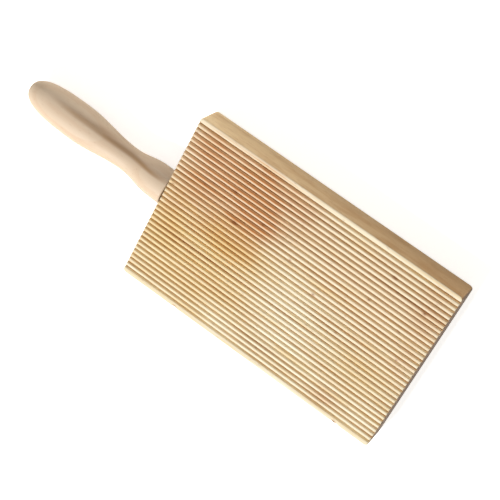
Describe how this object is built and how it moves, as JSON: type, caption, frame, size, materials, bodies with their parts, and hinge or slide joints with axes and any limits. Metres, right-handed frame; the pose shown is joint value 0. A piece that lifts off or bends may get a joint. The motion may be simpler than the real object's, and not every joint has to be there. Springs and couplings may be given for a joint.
{
  "type": "gnocchi board",
  "caption": "Ridged beech board with a turned handle, for rolling gnocchi and ribbed pasta over parallel V-grooves",
  "frame": {"origin": "centre of the board's flat back face, halfway along its length and width, with the handle not counted", "axes": "+X along the ridges away from the handle, +Y across the ridges, +Z out of the ridged face"},
  "size_m": [0.3192, 0.1264, 0.026],
  "materials": {
    "beech_board": "raw beech, moulded ridges, sanded edges",
    "beech_handle": "raw beech, turned and sanded smooth",
    "wood_glue": "set wood glue, translucent amber"
  },
  "bodies": {
    "root": {"ridged_board": "beech_board", "handle": "beech_handle", "glue_film": "wood_glue"}
  },
  "joints": []
}
